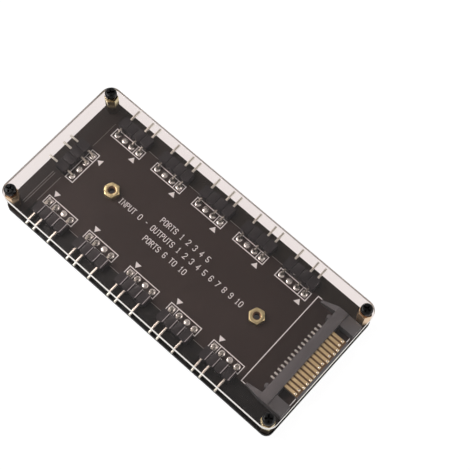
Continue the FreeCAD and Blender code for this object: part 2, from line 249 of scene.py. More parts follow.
def sawn_acrylic(looks):
    """Cut edge of the sheet: pale, with fine upright saw lines, and a painted glow (emission) on
    the front sides that stands in for light caught in the edge.
    """
    finish = Finish("sawn_acrylic")
    lines = finish.grain(0.12, 2.0, (1.0, 1.0, 0.05))
    surface = finish.add("ShaderNodeNewGeometry", output="Normal")
    parts = finish.split(surface)
    outside = 1.0 - surface.output("Backfacing")
    # Painted glow: the +X and -Y sides, seen from outside, emit the sawn colour.
    painted_glow_side = parts.output("X").most(0.0 - parts.output("Y")).past(0.4, 0.3) * outside
    return finish.coat({
        "Base Color": finish.mottled(lines, looks.sawn, 0.9, 1.0),
        "Roughness": 0.35 + 0.15 * lines,
        "Emission Color": finish.blend(painted_glow_side, (0.0, 0.0, 0.0, 1.0), rgba(looks.sawn)),
        "Emission Strength": looks.painted_glow,
        "Normal": finish.bump(lines, 0.004)})


def solder_mask(looks):
    """Satin mask: warmer over the copper pour, darker beside it, bare laminate on the cut edges;
    the bare mask has painted sheen on its +Y half and painted shade on its -Y half.
    """
    finish = Finish("solder_mask")
    parts = finish.split(finish.place)
    sides = abs(parts.output("Y")).past(looks.pour_half, 0.05 * MM)
    left = (0.0 - parts.output("X")).past(looks.pour_left, 0.05 * MM)
    bare = sides * (1.0 - left) + 0.25 * left
    cloud = finish.grain(14, 2.0)
    peel = finish.grain(0.35, 2.0)
    pour = finish.mottled(cloud, looks.mask, 0.85, 1.15)
    # Painted sheen and shade: the bare mask is coloured lighter towards +Y and darker towards -Y.
    far = parts.output("Y").past(0.0, 10 * MM)
    dark = finish.mottled(far, looks.mask_bare, 0.45, 1.9)
    face = finish.blend(bare, pour, dark)
    normal = finish.add("ShaderNodeNewGeometry", output="Normal")
    lift = finish.split(normal).output("Z")
    cut = 1.0 - abs(lift).past(0.5, 0.1)
    weave = finish.grain(0.12, 2.0, (1.0, 1.0, 6.0))
    edge = finish.mottled(weave, looks.laminate, 0.6, 1.4)
    return finish.coat({
        "Base Color": finish.blend(cut, face, edge),
        "Roughness": 0.34 + 0.1 * cloud + 0.3 * cut,
        "Specular IOR Level": 0.25,
        "Normal": finish.bump(peel, 0.004)})


def moulded(name, colour, size, rough, gloss=0.5, gap_shade=None):
    """Moulded plastic with a fine spark-eroded grain and a slightly uneven tone.

    The last argument gives (low corner, high corner, colour) of a box where the plastic is painted
    darker: painted shade and gold reflection.
    """
    finish = Finish(name)
    grain = finish.grain(size, 3.0)
    tone = finish.grain(3, 2.0)
    body = finish.mottled(tone, colour, 0.85, 1.15)
    if gap_shade:
        low, high, shade_colour = gap_shade
        parts = finish.split(finish.place)
        inside = 1.0
        for axis, start, end in zip("XYZ", low, high):
            band = parts.output(axis).within((start + end) / 2, (end - start) / 2, 0.03 * MM)
            inside = inside * band
        body = finish.blend(inside, body, rgba(shade_colour))
    return finish.coat({
        "Base Color": body,
        "Roughness": rough + 0.12 * grain,
        "Specular IOR Level": gloss,
        "Normal": finish.bump(grain, 0.006)})


def plated(name, colour, rough, size, depth, dark_strips=(), metal=1.0):
    """Plated or cast metal with small dips and a slightly patchy tone.

    The strips are listed as (Y, half width, tone), where the colour is darkened.
    """
    finish = Finish(name)
    dips = finish.grain(size, 3.0)
    tone = finish.grain(1.2, 2.0)
    body = finish.mottled(tone, colour, 0.82, 1.08)
    parts = finish.split(finish.place)
    for row, half, darkened in dark_strips:
        strip = parts.output("Y").within(row, half, 0.2 * MM)
        body = finish.blend(strip, body, rgba(colour, darkened))
    return finish.coat({
        "Base Color": body,
        "Metallic": metal,
        "Roughness": rough + 0.1 * dips,
        "Normal": finish.bump(dips, depth)})


def contact_flash(looks, low, step):
    """Gold flash, pale along the middle of each contact and brown at its sides: the brown is
    painted shade standing in for rounded edges.
    """
    finish = Finish("contact_flash")
    dips = finish.grain(0.2, 3.0)
    across = finish.split(finish.place).output("Y")
    share = (across - (low.y + CONTACT_WIDE / 2)) * (1.0 / step) + 0.5
    side = abs(share.math("FRACT", share) - 0.5) * step
    # Painted shade: the colour turns brown towards each contact's sides.
    worn = side.past(CONTACT_WIDE * 0.42, CONTACT_WIDE * 0.12)
    return finish.coat({
        "Base Color": finish.blend(worn, rgba(looks.contact), rgba(looks.contact_shaded_side)),
        "Metallic": 1.0,
        "Roughness": 0.3 + 0.1 * dips,
        "Normal": finish.bump(dips, 0.003)})


def turned_brass(name, colour, tarnish, foot):
    """Turned brass: fine lines round the bar, dull patches, and below the foot height a dark, rough
    colour that is painted shade and painted dark reflection.
    """
    finish = Finish(name)
    lines = finish.grain(0.05, 2.0, (0.08, 0.08, 1.0))
    tone = finish.grain(1.5, 3.0)
    height = finish.split(finish.place).output("Z")
    unshaded = height.past(foot, 1.4 * MM)
    bright = finish.mottled(tone, colour, 0.8, 1.1)
    return finish.coat({
        "Base Color": finish.blend(unshaded, rgba(tarnish), bright),
        "Metallic": unshaded,
        "Roughness": 0.9 - unshaded * (0.64 - 0.15 * tone),
        "Specular IOR Level": 0.1,
        "Normal": finish.bump(lines, 0.003)})


def thin_coat(name, colour, tones, grain, rough, gloss, depth):
    """Coat of uneven tone and sheen; rough is (lowest grain, change to the highest)."""
    finish = Finish(name)
    worn = finish.grain(*grain)
    return finish.coat({
        "Base Color": finish.mottled(worn, colour, *tones),
        "Roughness": rough[0] + rough[1] * worn,
        "Specular IOR Level": gloss,
        "Normal": finish.bump(worn, depth)})


def black_oxide(looks):
    """Blackened steel, a little glossier where it is rubbed."""
    return thin_coat("black_oxide", looks.oxide, (0.7, 1.5), (0.5, 4.0), (0.42, -0.18), 0.3, 0.006)


def white_ink(looks):
    """Screen-printed ink, thin in places."""
    return thin_coat("white_ink", looks.ink, (0.85, 1.0), (0.15, 3.0), (0.6, 0.1), 0.5, 0.004)


# Mesh helpers

def linked(name, mesh):
    piece = bpy.data.objects.new(name, mesh)
    bpy.context.scene.collection.objects.link(piece)
    return piece


def baked(piece):
    """Turns a piece with modifiers into a plain mesh."""
    graph = bpy.context.evaluated_depsgraph_get()
    mesh = bpy.data.meshes.new_from_object(piece.evaluated_get(graph))
    piece.modifiers.clear()
    piece.data = mesh
    return piece


def drawn(name, build):
    """New mesh filled by a function that gets a BMesh."""
    form = bmesh.new()
    build(form)
    bmesh.ops.recalc_face_normals(form, faces=form.faces)
    mesh = bpy.data.meshes.new(name)
    form.to_mesh(mesh)
    form.free()
    return mesh


def smooth(mesh, angle=40.0):
    mesh.shade_smooth()
    mesh.set_sharp_from_angle(angle=math.radians(angle))
    return mesh


def lathe(form, profile, steps, spot=(0.0, 0.0)):
    """Closed turned body; the profile runs from pole to pole as (radius, height)."""
    turns = [2 * math.pi * number / steps for number in range(steps)]
    rings = []
    for radius, height in profile:
        spots = [(spot[0] + radius * math.cos(turn), spot[1] + radius * math.sin(turn), height)
                 for turn in (turns if radius else turns[:1])]
        rings.append([form.verts.new(place) for place in spots])
    for below, above in zip(rings, rings[1:]):
        for number in range(steps):
            after = (number + 1) % steps
            corners = [ring[place % len(ring)] for ring, place in (
                (below, number), (below, after), (above, after), (above, number))]
            form.faces.new(list(dict.fromkeys(corners)))


def spanned(form, *rings):
    """Closed body between two rings of (x, y, z) points."""
    base, top = [[form.verts.new(point) for point in ring] for ring in rings]
    form.faces.new(base[::-1])
    form.faces.new(top)
    for number in range(len(base)):
        after = (number + 1) % len(base)
        form.faces.new((base[number], base[after], top[after], top[number]))


def prism(form, outline, low, high):
    """Closed body over a flat outline of (x, y) points."""
    spanned(form, *[[(x, y, level) for x, y in outline] for level in (low, high)])


def slab(form, near, far, low, high):
    """Closed box between two (x, y) corners."""
    prism(form, [near, (far[0], near[1]), far, (near[0], far[1])], low, high)


def joined(form, mesh, shift):
    """Adds a mesh to the form, moved by a shift."""
    start = len(form.verts)
    form.from_mesh(mesh)
    form.verts.ensure_lookup_table()
    bmesh.ops.translate(form, verts=form.verts[start:], vec=shift)


def quarter(steps):
    """Angles from 0 to a quarter turn."""
    return [math.pi / 2 * part / steps for part in range(steps + 1)]


def ribbon(form, points, wide, high, closed=False):
    """Flat inked line with mitred corners along (x, y) points."""
    spots = [Vector(point) for point in points]
    count = len(spots)
    sides = []
    for number, spot in enumerate(spots):
        first = spots[number - 1] if number or closed else spot
        last = spots[(number + 1) % count] if number + 1 < count or closed else spot
        ahead = (last - spot).normalized()
        behind = (spot - first).normalized()
        lean = (ahead + behind).normalized()
        across = Vector((-lean.y, lean.x))
        reach = wide / 2 / max(0.4, lean.dot(ahead), lean.dot(behind))
        overrun = wide / 2 * (lean * (last == spot) - lean * (first == spot))
        sides.append([form.verts.new((*(spot + overrun + across * side), level))
                      for side in (reach, -reach) for level in (0.0, high)])
    for number in range(count if closed else count - 1):
        a = sides[number]
        b = sides[(number + 1) % count]
        for one, two in ((0, 1), (1, 3), (3, 2), (2, 0)):
            form.faces.new((a[one], a[two], b[two], b[one]))
    if not closed:
        form.faces.new((sides[0][0], sides[0][1], sides[0][3], sides[0][2]))
        form.faces.new((sides[-1][0], sides[-1][2], sides[-1][3], sides[-1][1]))


def cad_copy(node, name, shift=(0.0, 0.0, 0.0)):
    """Merged copy of a CAD node's mesh, with its flat faces whole again."""
    form = bmesh.new()
    form.from_mesh(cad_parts[node].data)
    bmesh.ops.remove_doubles(form, verts=form.verts, dist=1e-7)
    bmesh.ops.dissolve_limit(form, angle_limit=math.radians(0.5), verts=form.verts,
                             edges=form.edges)
    bmesh.ops.translate(form, verts=form.verts, vec=shift)
    mesh = bpy.data.meshes.new(name)
    form.to_mesh(mesh)
    form.free()
    return mesh


def softened(name, mesh, width, segments=2):
    """Piece with its sharp edges rounded over."""
    smooth(mesh)
    piece = linked(name, mesh)
    edges = piece.modifiers.new("edges", "BEVEL")
    edges.width = width
    edges.segments = segments
    edges.limit_method = "ANGLE"
    edges.angle_limit = math.radians(28)
    edges.harden_normals = True
    return baked(piece)


def removed(*pieces):
    for piece in pieces:
        bpy.data.objects.remove(piece)


def cut_out(block, *cutters):
    """Mesh of a block without the cutters; block and cutters are used up."""
    for cutter in cutters:
        cut = block.modifiers.new("cut", "BOOLEAN")
        cut.object = cutter
        cut.operation = "DIFFERENCE"
        cut.solver = "EXACT"
    mesh = baked(block).data
    removed(block, *cutters)
    return mesh


def shown(piece, material, slot, *nodes):
    """Gives a finished piece its material and ties it to the hub."""
    piece.data.materials.clear()
    piece.data.materials.append(material)
    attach(piece, BODY)
    if nodes:
        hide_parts(*nodes)
    return piece


def second_coat(piece, material, chosen):
    """Gives the chosen faces of a shown piece a second material."""
    piece.data.materials.append(material)
    for face in piece.data.polygons:
        if chosen(face):
            face.material_index = 1


# Geometry Nodes

def new_tree(name, **inputs):
    """Tree with one input of each named kind, and a Geometry output."""
    tree = bpy.data.node_groups.new(name, "GeometryNodeTree")
    for label, kind in inputs.items():
        tree.interface.new_socket(label, in_out="INPUT", socket_type="NodeSocket" + kind)
    tree.interface.new_socket("Geometry", in_out="OUTPUT", socket_type="NodeSocketGeometry")
    graph = Graph(tree)
    return graph, graph.add("NodeGroupInput")


def finish_tree(graph, source, geometry):
    plain = graph.add("GeometryNodeRealizeInstances", {"Geometry": geometry})
    coated = graph.add("GeometryNodeSetMaterial", {
        "Geometry": plain, "Material": source.output("Finish")})
    graph.add("NodeGroupOutput", {"Geometry": coated})
    return graph.tree


def stamp_tree():
    """Sets a template on every point, turned by the point's own angles."""
    graph, source = new_tree("stamp", Geometry="Geometry", Template="Object", Finish="Material")
    shape = graph.add("GeometryNodeObjectInfo", {"Object": source.output("Template")},
                      output="Geometry")
    turn = graph.add("GeometryNodeInputNamedAttribute", {"Name": "turn"},
                     {"data_type": "FLOAT_VECTOR"})
    copies = graph.add("GeometryNodeInstanceOnPoints", {
        "Points": source.output("Geometry"), "Instance": shape, "Rotation": turn})
    return finish_tree(graph, source, copies)


def thread_tree():
    """Screw thread: a ridge wound along a helix."""
    graph, source = new_tree("thread", Geometry="Geometry", Radius="Float", Pitch="Float",
                             Length="Float", Ridge="Float", Finish="Material")
    length = source.output("Length")
    turns = length.math("DIVIDE", length, source.output("Pitch"))
    helix = graph.add("GeometryNodeCurveSpiral", {
        "Resolution": 24, "Rotations": turns, "Start Radius": source.output("Radius"),
        "End Radius": source.output("Radius"), "Height": length})
    section = graph.add("GeometryNodeCurvePrimitiveCircle", {
        "Resolution": 4, "Radius": source.output("Ridge")})
    ridge = graph.add("GeometryNodeCurveToMesh", {
        "Curve": helix, "Profile Curve": section, "Fill Caps": True})
    return finish_tree(graph, source, ridge)


def grown(name, mesh, tree, values):
    """Runs a tree on a mesh and returns the plain result."""
    piece = linked(name, mesh)
    nodes = piece.modifiers.new("nodes", "NODES")
    nodes.node_group = tree
    for item in tree.interface.items_tree:
        if item.in_out == "INPUT" and item.name in values:
            nodes[item.identifier] = values[item.name]
    return baked(piece)


def stamped(name, template, spots, material, slot, *nodes):
    """Shows one piece with a copy of the template at each (place, angles) spot."""
    points = bpy.data.meshes.new(name + "_points")
    points.from_pydata([tuple(place) for place, angles in spots], [], [])
    turn = points.attributes.new("turn", "FLOAT_VECTOR", "POINT")
    for number, (place, angles) in enumerate(spots):
        turn.data[number].vector = angles
    model = linked(name + "_template", template)
    piece = grown(name, points, stamp_tree(), {"Template": model, "Finish": material})
    removed(model)
    shown(piece, material, slot, *nodes)


def thread_mesh(radius, pitch, length, ridge):
    piece = grown("thread", bpy.data.meshes.new("start"), thread_tree(),
                  {"Radius": radius, "Pitch": pitch, "Length": length, "Ridge": ridge})
    mesh = piece.data
    removed(piece)
    return mesh


# Places read from the frame

def port_spots(height):
    """Pad-row middle and turn of each port; local +Y points outwards."""
    spots = []
    for number in UPPER_PORTS + LOWER_PORTS:
        low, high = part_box("port_%d_pins" % number)
        upper = number in UPPER_PORTS
        row = low.y + PIN_SIDE / 2 if upper else high.y - PIN_SIDE / 2
        spots.append((((low.x + high.x) / 2, row, height), (0.0, 0.0, 0.0 if upper else math.pi)))
    low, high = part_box("input_pins")
    spots.append(((high.x - PIN_SIDE / 2, (low.y + high.y) / 2, height), (0.0, 0.0, math.pi / 2)))
    return spots


def way(number):
    """Local X of a port's way, 1 to 4."""
    return (2.5 - number) * PIN_SPACING


def middle(node):
    low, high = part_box(node)
    return (low + high) / 2


def contact_rows():
    """Y of each plug contact, and the step from one to the next."""
    low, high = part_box("sata_contacts")
    step = (high.y - low.y - CONTACT_WIDE) / (CONTACTS - 1)
    return [low.y + CONTACT_WIDE / 2 + step * number for number in range(CONTACTS)], step


# Settings that a user would change

def setting(kind, **fixed):
    """Maker of settings of one kind."""
    def make(name, description, value, **more):
        return kind(name=name, description=description, default=value, **fixed, **more)
    return make


amount = setting(FloatProperty)
words = setting(StringProperty)
tint = setting(FloatVectorProperty, subtype="COLOR", min=0.0, max=1.0, size=3)
spot_of = setting(FloatVectorProperty, subtype="TRANSLATION", size=3)
turn_of = setting(FloatVectorProperty, subtype="EULER", size=3)


def span(name, description, value):
    """Length, given in millimetres."""
    return amount(name, description, value * MM, unit="LENGTH", precision=5)


class HubEdges(bpy.types.PropertyGroup):
    plate: span("Plate", "Edge break of the clear plate", 0.1)
    board: span("Board", "Edge break of the board", 0.1)
    shell: span("Port shells", "Edge round of the port shells", 0.05)
    pin: span("Pins", "Edge round of the pins", 0.06)
    plug: span("Plug", "Edge round of the plug housing", 0.2)
    bar: span("Bar", "Taken off the back of the plug's bar", 0.4)
    contact: span("Contacts", "Edge round of the plug contacts", 0.15)
    brass: span("Brass", "Edge round of posts and nuts", 0.08)
    groove: span("Groove", "Half width of the groove between two ways", 0.16)
    nose: span("Nose", "Radius of the dome at a contact's end", 0.3)


class HubScrews(bpy.types.PropertyGroup):
    edge: span("Head edge", "Round of the pan head", 0.62)
    trim: span("Head trim", "Taken off the head's radius", 0.12)
    core: span("Core", "Radius of the shank under the thread", 0.84)
    pitch: span("Pitch", "Thread pitch", 0.4)
    ridge: span("Ridge", "Half height of the thread ridge", 0.15)
    wing: span("Wing", "Half length of the cross recess", 1.05)
    web: span("Web", "Half width of a recess wing", 0.24)
    depth: span("Depth", "Depth of the cross recess", 0.85)


class HubSolder(bpy.types.PropertyGroup):
    pad: span("Pad", "Pad radius", 0.86)
    foil: span("Foil", "Pad height over the mask", 0.035)
    rise: span("Rise", "Solder height at a pin", 0.5)
    tail_rise: span("Tail rise", "Solder height at a pin tail", 0.75)
    dome: span("Dome", "Height of a filled empty way", 0.16)


class HubPrint(bpy.types.PropertyGroup):
    line: span("Line", "Width of a printed line", 0.24)
    ink: span("Ink", "Height of the ink over the mask", 0.03)
    arrow_near: span("Arrow tip", "Pad row to the arrow's tip", 1.75)
    arrow_far: span("Arrow base", "Pad row to the arrow's base", 3.15)
    arrow_half: span("Arrow half width", "Half of the arrow's base", 0.95)
    letter: span("Letter height", "Height of the legend", 1.5)
    letter_wide: span("Letter width", "Width of a letter", 0.74)
    advance: span("Letter step", "Letter to letter", 1.12)
    stroke: span("Stroke", "Width of a letter's stroke", 0.18)
    upper: words("Upper line", "Legend of the upper row", "PORTS 1 2 3 4 5")
    centre: words("Middle line", "Legend between nuts", "INPUT 0 - OUTPUTS 1 2 3 4 5 6 7 8 9 10")
    lower: words("Lower line", "Legend of the lower row", "PORTS 6 TO 10")


class HubLooks(bpy.types.PropertyGroup):
    acrylic: tint("Acrylic", "Tint of the clear plate", (0.97, 0.915, 0.905))
    sawn: tint("Sawn edge", "Cut edge of the clear plate", (0.90, 0.86, 0.82))
    mask: tint("Mask", "Solder mask over copper", (0.0296, 0.0204, 0.0173))
    mask_bare: tint("Bare mask", "Solder mask without copper", (0.0085, 0.0062, 0.0044))
    pour_edge: tint("Pour edge", "Mask over the edge of the copper", (0.34, 0.32, 0.30))
    laminate: tint("Laminate", "Cut edge of the board", (0.003, 0.0025, 0.0022))
    shell: tint("Port shell", "Moulded nylon", (0.018, 0.0155, 0.0165))
    worn: tint("Worn nylon", "Rubbed edges of the port shells", (0.45, 0.44, 0.45))
    plug: tint("Plug", "Plug housing", (0.086, 0.086, 0.089))
    gap_shade: tint("Contact bed", "Stained plastic between the contacts", (0.115, 0.06, 0.022))
    pin: tint("Pin", "Flash of the port pins", (0.70, 0.66, 0.58))
    contact: tint("Contact", "Flash of the plug contacts", (0.90, 0.74, 0.42))
    contact_shaded_side: tint("Contact side", "Worn sides of the plug contacts", (0.48, 0.31, 0.13))
    nose: tint("Nose", "Bright ends of the plug contacts", (0.97, 0.92, 0.80))
    brass: tint("Brass", "Nuts and tarnished posts", (0.665, 0.57, 0.312))
    post: tint("Warm brass", "Cleaner posts", (0.84, 0.64, 0.40))
    bore: tint("Bore", "Threads inside the nuts", (0.20, 0.12, 0.07))
    tarnish: tint("Tarnish", "Foot of the posts", (0.028, 0.019, 0.012))
    oxide: tint("Oxide", "Blackened screws", (0.003, 0.0028, 0.0028))
    solder: tint("Solder", "Tinned pads and joints", (0.85, 0.83, 0.78))
    ink: tint("Ink", "Printed marks", (0.90, 0.92, 0.91))
    floor: tint("Floor", "Floor under the hub", (0.10, 0.10, 0.10))
    painted_glow: amount("Carried light", "Glow of the plate's front sides", 0.35)
    pour_half: span("Pour half width", "Port centreline to the copper's edge", 14.85)
    pour_left: span("Pour end", "Origin to the copper's left edge", 39.5)


class HubStage(bpy.types.PropertyGroup):
    eye: spot_of("Eye", "Camera place", (69.71 * MM, -71.75 * MM, 297.63 * MM))
    aim: turn_of("Aim", "Camera turn", tuple(map(math.radians, (19.8814, -1.5275, 41.8609))))
    lens: amount("Lens", "Focal length on a 36 mm sensor", 93.45)
    sky: amount("Sky", "Strength of the light from straight above", 0.2)
    rim: amount("Rim", "Strength of the light near the horizon", 0.8)
    key: amount("Key", "Strength of the main lamp", 1.5, unit="POWER")
    fill: amount("Fill", "Strength of the second lamp", 0.7, unit="POWER")
    glow: amount("Glow", "Light added to the floor where it is seen", 0.95)
    behind: tint("Behind", "Floor seen through the plate", (0.885, 0.855, 0.84))


GROUPS = {"hub_edges": HubEdges, "hub_screws": HubScrews, "hub_solder": HubSolder,
          "hub_print": HubPrint, "hub_looks": HubLooks, "hub_stage": HubStage}


# Pieces

class HUB_OT_sheets(bpy.types.Operator):
    """Clear plate and board"""
    bl_idname = "hub.sheets"
    bl_label = "Plate and board"

    def execute(self, context):
        edges = context.scene.hub_edges
        looks = context.scene.hub_looks
        plate = softened("clear_plate", cad_copy("top_plate", "plate"), edges.plate)
        shown(plate, polished_acrylic(looks), "clear_acrylic", "top_plate")
        low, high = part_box("top_plate")
        rim = edges.plate + 1 * MM

        def sawn(face):
            spot = face.center
            inset = min(spot.x - low.x, high.x - spot.x, spot.y - low.y, high.y - spot.y)
            return inset < rim and abs(face.normal.z) < 0.3
        second_coat(plate, sawn_acrylic(looks), sawn)
        board = softened("masked_board", cad_copy("circuit_board", "board"), edges.board)
        shown(board, solder_mask(looks), "board_mask", "circuit_board")
        return {"FINISHED"}


def recess_wing(screws, head, along):
    """One tapered wing of a cross recess, as a cutter."""
    top = head + 0.1 * MM
    base = head - screws.depth

    rings = []
    for level, share in ((base, 0.42), (top, 1.08)):
        a = screws.wing * share
        b = screws.web * (0.7 + 0.3 * share)
        corners = ((-a, -b), (a, -b), (a, b), (-a, b))
        rings.append([(x, y, level) if along else (y, x, level) for x, y in corners])
    return drawn("wing", lambda form: spanned(form, *rings))


def screw_mesh(screws, head_radius, head, reach):
    """Pan head with a cross recess over a threaded shank; the head stands on z = 0."""
    round_over = [(head_radius - screws.edge * (1 - math.sin(turn)),
                   head - screws.edge * (1 - math.cos(turn))) for turn in quarter(5)[::-1]]
    crown = [(0.0, 0.0), (head_radius, 0.0)] + round_over + [(0.0, head)]
    body = linked("head", drawn("head", lambda form: lathe(form, crown, 40)))
    wings = [linked("wing", recess_wing(screws, head, along)) for along in (True, False)]
    head_mesh = cut_out(body, *wings)
    core = screws.core
    tip = core * 0.3
    shank = [(0.0, -reach), (core - tip, -reach), (core, tip - reach), (core, 0.0), (0.0, 0.0)]
    ridge = thread_mesh(core, screws.pitch, reach - 2 * screws.pitch, screws.ridge)

    def build(form):
        form.from_mesh(head_mesh)
        lathe(form, shank, 24)
        joined(form, ridge, (0.0, 0.0, screws.pitch - reach))
    return smooth(drawn("screw", build), 30.0)


class HUB_OT_fasteners(bpy.types.Operator):
    """Screws, posts and nuts"""
    bl_idname = "hub.fasteners"
    bl_label = "Fasteners"

    def execute(self, context):
        looks = context.scene.hub_looks
        edges = context.scene.hub_edges
        oxide = black_oxide(looks)
        brass = turned_brass("turned_brass", looks.brass, looks.tarnish, 0.0)
        # Painted shade and dark reflection on the posts below this height.
        foot_shade_top = BOARD_HIGH.z + FOOT_SHADE_HIGH
        warm = turned_brass("warm_brass", looks.post, looks.tarnish, 0.0)
        warm_shaded = turned_brass("stained_brass", looks.post, looks.tarnish, foot_shade_top)
        shaded = turned_brass("tarnished_brass", looks.brass, looks.tarnish, foot_shade_top)
        sizes = context.scene.hub_screws
        self.screws(sizes, oxide, "cover_screw_%d", "cover_screws", False)
        self.screws(sizes, oxide, "base_screw_%d", "base_screws", True)
        for number in CORNERS:
            node = "post_%d" % number
            post = softened("hex_post_%d" % number, cad_copy(node, node), edges.brass)
            place = middle(node)
            # Lit and shaded copies of the brass by corner: the +X +Y post has no painted foot
            # shade, the others are painted darker towards the board.
            metal = shaded
            if place.x * place.y > 0:
                metal = warm if place.x > 0 else warm_shaded
            shown(post, metal, "brass", node)
        # Painted shade: the threads in the nut bores are coloured dark brown, as in a shaded
        # recess.
        darkened = plated("bore_thread", looks.bore, 0.5, 0.2, 0.004)
        for side in ("left", "right"):
            self.nut(sizes, edges, (brass, darkened), side)
        return {"FINISHED"}

    def screws(self, screws, oxide, pattern, name, turned_over):
        nodes = [pattern % number for number in CORNERS]
        low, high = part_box(nodes[0])
        head_radius = (high.x - low.x) / 2 - screws.trim
        seat = BOARD_LOW.z if turned_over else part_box("top_plate")[1].z
        head, reach = high.z - seat, seat - low.z
        if turned_over:
            head, reach = reach, head
        spots = []
        for number, node in enumerate(nodes):
            place = middle(node)
            turn = math.radians(HEAD_TURN + HEAD_TURN_STEP * number)
            spots.append(((place.x, place.y, seat), (math.pi if turned_over else 0.0, 0.0, turn)))
        mesh = screw_mesh(screws, head_radius, head, reach)
        stamped(name, mesh, spots, oxide, "black_steel", *nodes)

    def nut(self, screws, edges, finishes, side):
        node = "nut_" + side
        low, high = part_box(node)
        body = softened("body", cad_copy(node, node), edges.brass)
        length = high.z - low.z - screws.pitch
        ridge = thread_mesh(NUT_BORE, screws.pitch, length, screws.ridge * 0.8)
        centre = middle(node)

        def build(form):
            form.from_mesh(body.data)
            joined(form, ridge, (centre.x, centre.y, low.z + screws.pitch / 2))
        piece = linked("hex_nut_" + side, smooth(drawn("nut", build), 30.0))
        removed(body)
        shown(piece, finishes[0], "brass", node)
        offsets = [(vertex.co - centre).to_2d().length for vertex in piece.data.vertices]
        second_coat(piece, finishes[1], lambda face: max(
            offsets[number] for number in face.vertices) < NUT_BORE + 0.2 * MM)


class HUB_OT_ports(bpy.types.Operator):
    """Shells and pins of the eleven ports"""
    bl_idname = "hub.ports"
    bl_label = "Ports"

    def execute(self, context):
        looks = context.scene.hub_looks
        edges = context.scene.hub_edges
        spots = port_spots(BOARD_HIGH.z)
        home = -Vector(spots[0][0])
        names = ["port_%d" % number for number in UPPER_PORTS + LOWER_PORTS] + ["input"]
        nylon = moulded("moulded_nylon", looks.shell, 0.06, 0.38, 0.3)
        gold = plated("pin_flash", looks.pin, 0.36, 0.3, 0.002,
                      ((spots[0][0][1], *UPPER_DARK_STRIP), (spots[5][0][1], *LOWER_DARK_STRIP)))
        slid = self.slid(spots)
        for part, places, width, material, slot in (
                ("shell", slid, edges.shell, nylon, "black_plastic"),
                ("pins", spots[:10], edges.pin, gold, "pin_gold")):
            mesh = cad_copy("port_1_" + part, part, home)
            if part == "shell":
                mesh = self.grooved(mesh, edges.groove)
            else:
                self.narrowed(mesh, 0, 0.0)
            model = softened("model", mesh, width)
            mesh = model.data
            removed(model)
            nodes = ["%s_%s" % (name, part) for name in names[:len(places)]]
            stamped("port_" + part, mesh, places, material, slot, *nodes)
        mesh = cad_copy("input_pins", "inlet")
        self.narrowed(mesh, 1, middle("input_pins").y)
        inlet = softened("inlet_pins", mesh, edges.pin)
        shown(inlet, gold, "pin_gold", "input_pins")
        low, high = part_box("port_1_shell")
        # Painted highlights: pale lines along one end of each way on the lower-row shells.
        worn = moulded("worn_nylon", looks.worn, 0.06, 0.3)
        places = [((place[0], place[1], high.z), angles) for place, angles in slid[5:10]]
        start = low.y + home.y + HIGHLIGHT_NEAR
        end = high.y + home.y - HIGHLIGHT_FAR
        seams = drawn("seams", lambda form: self.seams(form, edges.groove, start, end))
        stamped("shell_seams", seams, places, worn, "black_plastic")
        return {"FINISHED"}

    def narrowed(self, mesh, axis, centre):
        """Draws in the two sides of each pin, along X (axis 0) or Y (axis 1) of the mesh."""
        rows = [centre + way(number) for number in PIN_WAYS]
        for vertex in mesh.vertices:
            row = min(rows, key=lambda spot: abs(vertex.co[axis] - spot))
            vertex.co[axis] = row + (vertex.co[axis] - row) * PIN_SHARE

    def slid(self, spots):
        """Two shells of the lower row sit a little further out on their pins."""
        moved = list(spots)
        for number, slide in SHELL_SLIDE.items():
            place, angles = spots[number - 1]
            moved[number - 1] = ((place[0], place[1] - slide, place[2]), angles)
        return moved

    def seams(self, form, groove, start, end):
        """Painted highlight along one end of each way."""
        for number in (-2, -1, 0, 1):
            x = number * PIN_SPACING + groove * 2.5
            ribbon(form, [(x, start), (x, end)], groove, 0.012 * MM)

    def grooved(self, mesh, wide):
        """Cuts a shallow groove across the top between each two ways."""
        model = linked("shell_block", mesh)
        top = max(corner[2] for corner in model.bound_box)
        near = min(corner[1] for corner in model.bound_box) - wide
        far = max(corner[1] for corner in model.bound_box) + wide

        def build(form):
            for number in (-1, 0, 1):
                x = number * PIN_SPACING
                notch = ((x - wide, top + wide / 2), (x + wide, top + wide / 2), (x, top - wide))
                spanned(form, *[[(across, y, up) for across, up in notch] for y in (near, far)])
        return cut_out(model, linked("cutter", drawn("cutter", build)))


